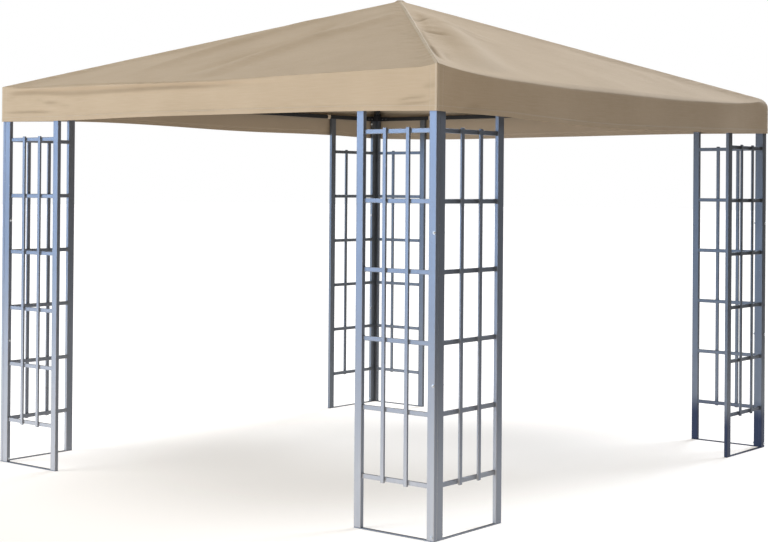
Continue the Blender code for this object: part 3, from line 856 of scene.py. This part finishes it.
def canopy_surface():
    """The outside of the cover, as rings from the peak down to the hem.

    Rings on the roof are squares at growing reach r. A point at share s of a
    side lies r * s along it, at the height of the straight line from the peak
    to the eave, less a dip that grows as r^1.25, plus folds and waves. At the
    eave a short curve, drawn towards the meeting point of its two ends' lines,
    turns the cloth down into the valance, which then hangs to the hem. The
    right side sags a little over the outside of its beam. Dips in the valance
    level off at DEEPEST_DIP, by a tanh, because the posts stand behind it.
    """
    step = np.linspace(-1.0, 1.0, COLUMNS, endpoint=False)
    share = 1.16 * step - 0.16 * step ** 7
    sides = np.arange(4)[:, None]
    eave = np.array([smooth_through(knots, share) for knots in EAVE_HEIGHTS])
    hem = np.array([smooth_through(knots, share) for knots in HEM_HEIGHTS])
    corner = np.array(CORNER_EAVE)
    corner_line = corner[sides] + (np.roll(corner, -1)[sides] - corner[sides]) * (share + 1.0) / 2.0
    flat = np.zeros(COLUMNS)
    sag = np.array([flat, 1.0 - smooth_step(np.abs(share + 0.03), 0.62, 0.96), flat, flat])
    back_right = np.array([flat, smooth_step(share, 0.90, 1.0), smooth_step(-share, 0.90, 1.0), flat])
    roll_fade = np.array([
        smooth_step(share, -1.0, -0.90) * (1.0 - smooth_step(share, -0.10, 0.45)), flat, flat, flat])
    roll_lag = smooth_step(-share, 0.0, 0.6)
    groove_lag = roll_lag * (1.0 - 0.80 * smooth_step(-share, 0.60, 0.84))
    blunt = FOLD_SIZE + 0.039 * back_right + 0.009 * sag + 0.004 * roll_fade
    edge_reach = EAVE_REACH + 0.018 * sag
    edge_height = eave - (0.011 + 0.007 * (1.0 - smooth_step(np.abs(share + 0.03), 0.30, 0.60))) * sag
    crisp = 1.0 + 3.0 * (1.0 - back_right)
    slope = (PEAK_HEIGHT - CORNER_HEIGHT) / EAVE_REACH
    lean = math.atan(slope)
    middle_fade = 1.0 - np.abs(share) ** 6

    def roof_height(reach):
        """Height at a reach, for every side and column."""
        part = reach / EAVE_REACH
        along = reach * share
        height = PEAK_HEIGHT - (PEAK_HEIGHT - corner_line) * part - (corner_line - eave) * part ** 1.25
        wrinkle = np.zeros_like(height)
        for side, folds in enumerate(ROOF_FOLDS):
            for path, tall, wide in folds:
                wrinkle[side] += fold_along(along[side], reach[side], path, tall, wide)
            wrinkle[side] += 0.0022 * slow_waves(along[side], reach[side], 40 + side)
        edge = smooth_step(reach - np.abs(along), 0.0, 0.12)
        near_eave = 1.0 - smooth_step(reach, EAVE_REACH - 0.16, EAVE_REACH - 0.03)
        near_peak = smooth_step(reach, 0.10, 0.35)
        return height + wrinkle * edge * near_eave * near_peak

    by_peak = np.array([
        0.004, 0.009, 0.014, 0.019, 0.024, 0.029, 0.034, 0.039, 0.044, 0.050, 0.060, 0.075])
    roof_shares = np.r_[
        by_peak, np.linspace(0.095, 0.475, 10), np.linspace(0.50, 0.94, 23),
        np.linspace(0.97, 1.445, 13), 1.465, 1.480, 1.488, ROOF_GRID_END] / ROOF_GRID_END
    roof_end = EAVE_REACH - blunt * math.cos(lean)
    reach_rows = []
    height_rows = []
    for part in roof_shares:
        reach = roof_end * part
        reach_rows.append(reach)
        height_rows.append(roof_height(reach))
    end_height = height_rows[-1]
    for turn in np.linspace(0.0, 1.0, 7)[1:]:
        leaving = (1.0 - turn) ** 2
        pull = 2.0 * crisp * turn * (1.0 - turn)
        arriving = turn ** 2
        total = leaving + pull + arriving
        reach_rows.append((roof_end * leaving + edge_reach * (pull + arriving)) / total)
        height_rows.append(
            (end_height * leaving + edge_height * pull + (edge_height - blunt) * arriving) / total)
    falls = (0.005, 0.011, 0.018, 0.026, 0.035, 0.045, 0.058, 0.074, 0.092,
             0.108, 0.114, 0.120, 0.126, 0.132, 0.138, 0.144)
    fall_end = edge_height - blunt - hem
    for fall in falls:
        reach_rows.append(edge_reach)
        height_rows.append(edge_height - blunt - fall / VALANCE_FALL * fall_end)
    for lift in (0.0255, 0.0235, 0.0120, 0.0020, 0.0):
        reach_rows.append(edge_reach)
        height_rows.append(hem + lift)
    reach = np.array(reach_rows)
    height = np.array(height_rows)

    # Distances that the shape and the cloth's finish use
    below_eave = edge_height - height
    above_hem = height - hem
    along = reach * share
    on_valance = smooth_step(below_eave, 0.004, 0.020)
    hip_gap = reach - np.abs(along)

    # The valance: a roll and a groove under the front eave, slow waves, and the hem
    roll_away = (below_eave - 0.008 - 0.006 * roll_lag) / (0.010 + 0.004 * roll_lag)
    groove_away = (below_eave - 0.029 - 0.017 * groove_lag) / (0.010 + 0.003 * roll_lag)
    roll = 0.0210 * np.exp(-roll_away ** 2)
    groove = -0.0120 * np.exp(-groove_away ** 2)
    proud = (roll + groove) * roll_fade
    # How deep the groove under the front eave and the creases dip; the cloth's finish darkens by it, as
    # painted shade.
    crease_shade = -0.70 * groove * roll_fade
    for side, path, tall, wide in VALANCE_CREASES:
        crease = fold_along(along[:, side], below_eave[:, side], path, tall, wide)
        crease = crease * smooth_step(below_eave[:, side], 0.0, 0.03)
        proud[:, side] += crease
        crease_shade[:, side] += np.maximum(-1.1 * crease, 0.0)
    for side in range(4):
        wave = slow_waves(along[:, side], below_eave[:, side] * 0.35, 60 + side)
        proud[:, side] += 0.0022 * wave * smooth_step(below_eave[:, side], 0.05, 0.17)
    proud += 0.0012 * (1.0 - smooth_step(above_hem, 0.0235, 0.0255)) * on_valance
    proud += 0.0020 * smooth_step(below_eave, 0.04, 0.19)
    proud *= middle_fade
    proud = np.where(proud < 0.0, -DEEPEST_DIP * np.tanh(-proud / DEEPEST_DIP), proud)

    # The plan: square rings with round corners
    radius = np.minimum(EDGE_RADIUS, 0.35 * reach)
    straight = reach - radius
    beyond = np.maximum(np.abs(along) - straight, 0.0)
    angle = 0.25 * np.pi * beyond / radius
    along_round = np.sign(along) * (np.minimum(np.abs(along), straight) + radius * np.sin(angle))
    outward = straight + radius * np.cos(angle) + proud

    # The hips: a raised seam with small gathers on both sides of it
    on_roof = 1.0 - smooth_step(below_eave, -0.010, 0.004)
    away_from_peak = smooth_step(reach, 0.08, 0.20)
    right_end = (share > 0.0).astype(float)
    near_hip = np.array([right_end, 1.0 - right_end, flat, flat])
    seam = (0.0008 + 0.0060 * near_hip) * np.exp(-(hip_gap / 0.0110) ** 2)
    gathers = 0.0009 + 0.0009 * np.sin(2.0 * np.pi * reach / 0.085 + 5.0 * np.sin(9.0 * reach))
    gathers = gathers * np.exp(-((hip_gap - 0.030) / 0.024) ** 2)
    height = height + (seam + gathers) * on_roof * away_from_peak
    for side, path, tall, wide in HIP_CREASES:
        crease = on_roof[:, side] * fold_along(along[:, side], reach[:, side], path, tall, wide)
        height[:, side] += crease
        crease_shade[:, side] += np.maximum(-crease, 0.0)

    # The cap over the peak
    from_peak = np.hypot(along_round, outward)
    cap = CAP_HEIGHT - CAP_FALL * smooth_step(from_peak, CAP_FLAT, CAP_RADIUS)
    height = np.where(from_peak < CAP_RADIUS, np.maximum(height, cap), height)

    places = np.stack([along_round, -outward, height], axis=-1)
    for side in range(4):
        places[:, side] = places[:, side] @ np.linalg.matrix_power(QUARTER_TURN, side)
    rows = len(reach)
    down = np.concatenate([
        np.zeros((1,) + reach.shape[1:]),
        np.cumsum(np.hypot(np.diff(reach, axis=0), np.diff(height_rows, axis=0)), axis=0)])
    notes = {
        "cloth_along": along + 4.0 * np.arange(4)[None, :, None],
        "cloth_down": down,
        "hip_gap": hip_gap,
        "below_eave": below_eave,
        "above_hem": above_hem,
        "crease_shade": crease_shade,
    }
    return places.reshape(rows, -1, 3), {name: value.reshape(rows, -1) for name, value in notes.items()}


canopy_rings, canopy_notes = canopy_surface()
ring_count, ring_points = canopy_rings.shape[:2]
canopy_points = np.vstack([canopy_rings.reshape(-1, 3), [(0.0, 0.0, CAP_TOP)]])
ring_index = np.arange(ring_count * ring_points).reshape(ring_count, ring_points)
next_index = np.roll(ring_index, -1, axis=1)
canopy_quads = np.stack(
    [ring_index[:-1], ring_index[1:], next_index[1:], next_index[:-1]], axis=-1).reshape(-1, 4)
canopy_fan = np.stack(
    [np.full(ring_points, ring_count * ring_points), ring_index[0], next_index[0]], axis=-1)
canopy_cloth = Finish("canopy_cloth")
canopy = make_piece(
    "canopy_cover", [(canopy_points, [canopy_quads, canopy_fan], np.zeros(len(canopy_points)))],
    canopy_cloth,
    ["front_canopy_panel", "right_canopy_panel", "back_canopy_panel", "left_canopy_panel"])
canopy.modifiers.clear()
for note, values in canopy_notes.items():
    layer = canopy.data.attributes.new(note, "FLOAT", "POINT")
    layer.data.foreach_set("value", np.r_[values.ravel(), values[0].mean()])
wall = canopy.modifiers.new("cloth_thickness", "SOLIDIFY")
wall.thickness = CLOTH_THICKNESS
wall.offset = -1.0
wall.use_rim = True
# The inside of the cover is the same cloth in a darker, warmer tone: painted shade under the canopy.
canopy_shaded_underside = Finish("canopy_shaded_underside")
lining_cloud = canopy_shaded_underside.grain(canopy_shaded_underside.place, 2.6, 4.0)
lining_weave = canopy_shaded_underside.grain(canopy_shaded_underside.place, 900.0, 1.0)
canopy_shaded_underside.surface({
    "Base Color": canopy_shaded_underside.mix(
        lining_cloud, (0.355, 0.285, 0.207, 1.0), (0.388, 0.313, 0.231, 1.0)),
    "Roughness": 0.70 + 0.12 * lining_weave,
    "Specular IOR Level": 0.2,
    "Normal": canopy_shaded_underside.relief(lining_weave * 0.00006 + lining_cloud * 0.0010),
})
canopy.data.materials.append(canopy_shaded_underside.material)
wall.material_offset = 1

cloth_along = canopy_cloth.carried("cloth_along")
cloth_down = canopy_cloth.carried("cloth_down")
hip_gap = canopy_cloth.carried("hip_gap")
below_eave = canopy_cloth.carried("below_eave")
above_hem = canopy_cloth.carried("above_hem")
crease_shade = canopy_cloth.carried("crease_shade")
THREAD_PITCH = 0.0011
warp_thread = (cloth_along * (2.0 * math.pi / THREAD_PITCH)).sine()
weft_thread = (cloth_down * (2.0 * math.pi / THREAD_PITCH)).sine()
weave = warp_thread * weft_thread
slub_place = canopy_cloth.node(
    "ShaderNodeCombineXYZ", None, {0: cloth_along * 9.0, 1: cloth_down * 160.0})
slub = canopy_cloth.grain(slub_place, 1.0, 2.0)
cloth_cloud = canopy_cloth.grain(canopy_cloth.place, 2.6, 4.0)
cloth_crease = canopy_cloth.grain(canopy_cloth.place, 14.0, 4.0)
hip_band = (hip_gap - 0.0120).size()
hip_stitch = (1.0 - hip_band.rise(0.0004, 0.0010)) * cloth_down.wrapped(0.0030).rise(0.0004, 0.0008)
# Painted highlight: the cloth is lighter along the hips and down the valance's corner seams, where the
# ridges catch the light; the corner seam also dips a little.
corner_seam_and_highlight = (1.0 - (hip_gap - 0.040).size().rise(0.0006, 0.0026)) * below_eave.rise(0.0, 0.02)
hip_painted_highlight = 1.0 - hip_gap.rise(0.0090, 0.0150)
hem_band = (above_hem - 0.0225).size()
hem_stitch = (1.0 - hem_band.rise(0.0004, 0.0010)) * cloth_along.wrapped(0.0030).rise(0.0004, 0.0008)
stitch = hip_stitch + hem_stitch
hip_pucker = (cloth_down * 160.0).sine() * (1.0 - hip_gap.rise(0.004, 0.030))
gather_place = canopy_cloth.node(
    "ShaderNodeCombineXYZ", None, {0: cloth_down * 19.0, 1: hip_gap * 9.0})
hip_gather = canopy_cloth.grain(gather_place, 1.0, 2.0) * (1.0 - hip_gap.rise(0.01, 0.19))
hip_gather = hip_gather * (1.0 - below_eave.rise(-0.02, 0.005))
hem_pucker = (cloth_along * 190.0).sine() * (1.0 - hem_band.rise(0.0, 0.012))
cloth_sun = canopy_cloth.mix(
    cloth_cloud.rise(0.3, 0.7), (0.490, 0.373, 0.250, 1.0), (0.530, 0.408, 0.279, 1.0))
cloth_worn = canopy_cloth.mix(slub.rise(0.3, 0.75) * 0.35, cloth_sun, (0.570, 0.456, 0.322, 1.0))
# Painted shade: the cloth darkens in the groove under the front eave and in the creases.
cloth_crease_shaded = canopy_cloth.mix(
    crease_shade.rise(0.0, 0.009) * 0.55, cloth_worn, (0.300, 0.225, 0.140, 1.0))
# Painted highlight along the hips and the corner seams.
cloth_with_highlight = canopy_cloth.mix(
    hip_painted_highlight * 0.35 + corner_seam_and_highlight * 0.25, cloth_crease_shaded, (0.640, 0.555, 0.440, 1.0))
canopy_cloth.surface({
    "Base Color": canopy_cloth.mix(stitch * 0.8, cloth_with_highlight, (0.600, 0.520, 0.410, 1.0)),
    "Roughness": 0.82 + 0.10 * weave + 0.06 * slub,
    "Sheen Weight": 0.03,
    "Sheen Roughness": 0.5,
    "Specular IOR Level": 0.12,
    "Normal": canopy_cloth.relief(
        weave * 0.00005 + slub * 0.00010 + cloth_crease * 0.0016 + stitch * -0.0003
        + hip_pucker * 0.00030 + hip_gather * 0.0125 + hem_pucker * 0.00015 + corner_seam_and_highlight * -0.0008),
})


# Canopy ties
# Eight bands of the same cloth, sewn inside the eave seam, close round the beams
# and keep the cover from lifting.
TIE_PLACES = (-1.0, 1.0)
TIE_HALF_WIDTH = 0.0125
TIE_THICKNESS = 0.0011
TIE_DEPTH = 0.0206
TIE_HEIGHT = 0.0256
TIE_EDGE = 0.0026

tie_parts = []
for tie_place in TIE_PLACES:
    loops = []
    for offset, growth in (
        (-TIE_HALF_WIDTH, 0.0), (-TIE_HALF_WIDTH, TIE_THICKNESS),
        (TIE_HALF_WIDTH, TIE_THICKNESS), (TIE_HALF_WIDTH, 0.0),
    ):
        outline, _ = rounded_outline(
            TIE_DEPTH + 2 * growth, TIE_HEIGHT + 2 * growth, TIE_EDGE + growth)
        loops.append(np.column_stack([
            np.full(len(outline), tie_place + offset),
            BEAM_MIDDLE + outline[:, 0],
            BEAM_BOTTOM + BEAM_HEIGHT / 2 + outline[:, 1],
        ]))
    loops = np.array(loops)
    point = np.arange(loops.shape[0] * loops.shape[1]).reshape(loops.shape[:2])
    beside = np.roll(point, -1, axis=1)
    after = np.roll(point, -1, axis=0)
    corner_after = np.roll(beside, -1, axis=0)
    band = np.stack([point, beside, corner_after, after], axis=-1).reshape(-1, 4)
    tie_parts.append((loops.reshape(-1, 3), [band], np.zeros(point.size)))
tie_cloth = Finish("tie_cloth")
tie_weave = tie_cloth.grain(tie_cloth.place, 1400.0, 1.0)
tie_cloth.surface({
    "Base Color": tie_cloth.mix(tie_weave, (0.42, 0.34, 0.25, 1.0), (0.54, 0.45, 0.34, 1.0)),
    "Roughness": 0.80 + 0.12 * tie_weave,
    "Normal": tie_cloth.relief(tie_weave * 0.00025),
})
for quarters, face in enumerate(FACES):
    make_piece(
        f"{face}_canopy_ties", [turned_quarters(part, quarters) for part in tie_parts],
        tie_cloth)
